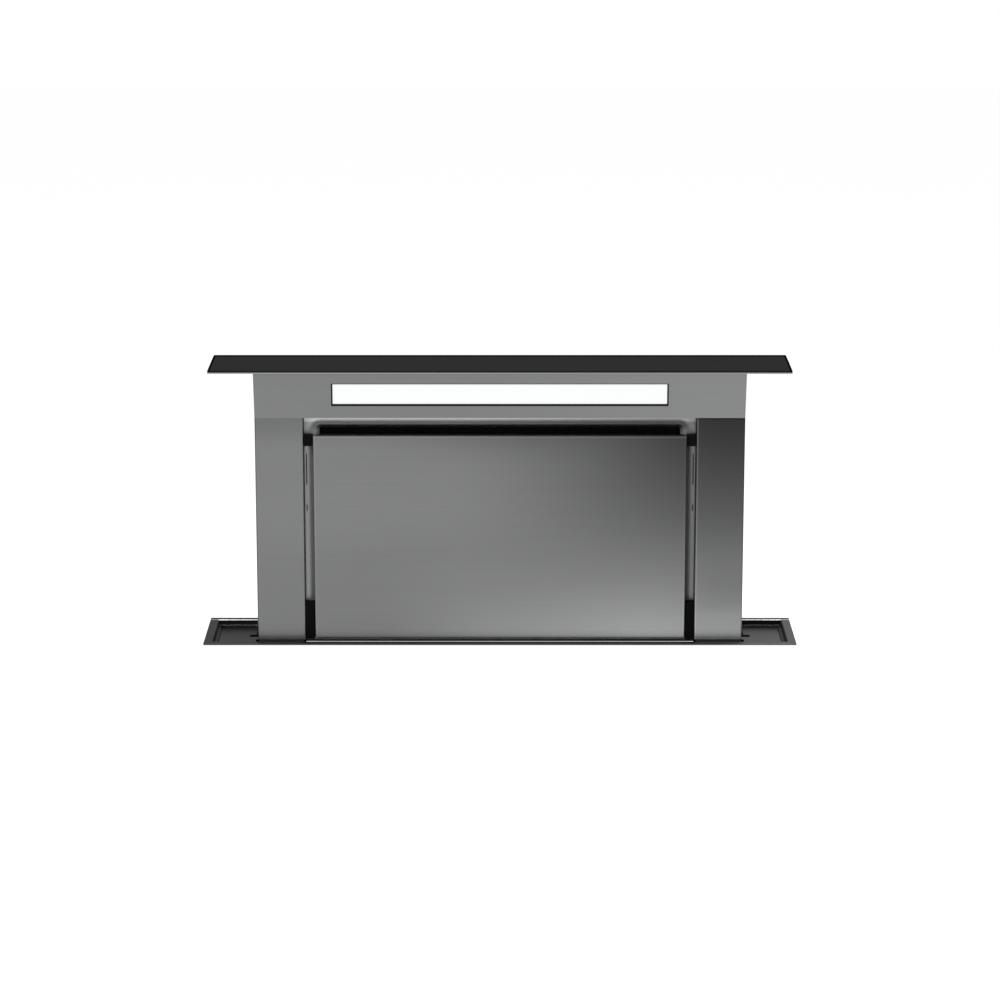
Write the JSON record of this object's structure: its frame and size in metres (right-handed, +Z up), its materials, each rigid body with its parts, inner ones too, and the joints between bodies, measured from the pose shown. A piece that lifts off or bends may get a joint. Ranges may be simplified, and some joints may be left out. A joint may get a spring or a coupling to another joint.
{
  "type": "downdraft vent",
  "caption": "Pop-up downdraft extractor: a steel tower with black glass lid, light and tilting panel rises from a worktop tray over a ducted casing with a scroll blower.",
  "frame": {"origin": "middle of the flange's underside, on the worktop's top face", "axes": "+Z up along the tower's travel, +X to the right seen from the front, front towards -Y"},
  "size_m": [0.88, 0.3005, 0.982],
  "materials": {
    "stainless": "brushed horizontally",
    "stainless_tray": "brushed, dark",
    "black_glass": "polished, opaque black",
    "black_paint": "satin",
    "galvanised": "galvanised, dull",
    "zinc_steel": "zinc plated",
    "aluminium": "satin",
    "filter_mesh": "woven mesh in a folded rim",
    "black_plastic": "fine grain",
    "grey_plastic": "fine grain",
    "white_plastic": "smooth",
    "light_diffuser": "frosted white",
    "white_board": "solder mask",
    "black_rubber": "matt",
    "black_seal": "matt",
    "bronze": "sintered"
  },
  "bodies": {
    "casing": {"flange_tray": "stainless_tray", "tray_seal": "black_seal", "slot_wiper": "black_rubber", "lift_racks": "zinc_steel", "guide_rails": "zinc_steel", "stop_buffers": "black_rubber", "casing_shell": "galvanised", "casing_front": "galvanised", "casing_bottom": "galvanised", "casing_screws": "zinc_steel", "scroll_wall": "galvanised", "scroll_back_plate": "galvanised", "scroll_front_plate": "galvanised", "inlet_ring": "galvanised", "blower_motor": "black_paint", "outlet_adaptor": "black_plastic", "duct_collar": "galvanised", "damper_rod": "zinc_steel", "control_box": "grey_plastic", "control_cover": "grey_plastic", "cable_glands": "black_plastic", "fixing_brackets": "galvanised"},
    "tower": {"lid_glass": "black_glass", "lid_frame": "stainless", "head_housing": "stainless", "light_bezel": "black_plastic", "light_lens": "light_diffuser", "heat_sink": "aluminium", "led_board": "white_board", "led_driver": "grey_plastic", "pillar_left": "stainless", "pillar_right": "stainless", "inner_legs": "black_paint", "back_panel": "stainless", "tower_screws": "zinc_steel", "apron": "black_paint", "intake_frame": "stainless", "filter_rails": "black_paint", "filter_left": "filter_mesh", "filter_right": "filter_mesh", "filter_handles": "black_plastic", "pivot_blocks": "black_plastic", "panel_catches": "black_plastic", "cross_beam": "galvanised", "outriggers": "galvanised", "slider_blocks": "white_plastic", "shaft_bushes": "bronze", "lift_gearbox": "aluminium", "lift_motor": "zinc_steel"},
    "panel": {"front_panel": "stainless", "panel_pins": "zinc_steel"},
    "lift_shaft": {"drive_shaft": "zinc_steel", "pinions": "zinc_steel"},
    "fan": {"impeller": "galvanised", "fan_spindle": "zinc_steel"},
    "flap_front": {"damper_flap_front": "black_plastic"},
    "flap_back": {"damper_flap_back": "black_plastic"},
    "latch_left": {"filter_latch_left": "grey_plastic"},
    "latch_right": {"filter_latch_right": "grey_plastic"}
  },
  "joints": [
    {"name": "tower_lift", "type": "slide", "parent": "casing", "child": "tower", "axis": [0, 0, 1], "range_m": [-0.41, 0]},
    {"name": "panel_tilt", "type": "hinge", "parent": "tower", "child": "panel", "pos_m": [0, -0.042, 0.0155], "axis": [1, 0, 0], "range_deg": [0, 30]},
    {"name": "lift_shaft_turn", "type": "hinge", "parent": "tower", "child": "lift_shaft", "pos_m": [0, 0.009, -0.088], "axis": [1, 0, 0], "range_deg": [-1, 1470]},
    {"name": "fan_spin", "type": "hinge", "parent": "casing", "child": "fan", "pos_m": [0, -0.116, -0.385], "axis": [0, -1, 0], "continuous": true},
    {"name": "front_flap_swing", "type": "hinge", "parent": "casing", "child": "flap_front", "pos_m": [0.239, -0.137, -0.49197], "axis": [0, 0, 1], "range_deg": [0, 75], "stiffness_Nm_per_rad": 0.02, "springref_deg": -5.73},
    {"name": "back_flap_swing", "type": "hinge", "parent": "casing", "child": "flap_back", "pos_m": [0.239, -0.137, -0.49197], "axis": [0, 0, -1], "range_deg": [0, 75], "stiffness_Nm_per_rad": 0.02, "springref_deg": -5.73},
    {"name": "left_latch_slide", "type": "slide", "parent": "tower", "child": "latch_left", "axis": [-1, 0, 0], "range_m": [0, 0.004], "stiffness_N_per_m": 300, "springref_m": -0.002},
    {"name": "right_latch_slide", "type": "slide", "parent": "tower", "child": "latch_right", "axis": [1, 0, 0], "range_m": [0, 0.004], "stiffness_N_per_m": 300, "springref_m": -0.002}
  ],
  "couplings": [
    {"joint": "lift_shaft_turn", "follows": "tower_lift", "rad_per_m": -62.5}
  ]
}
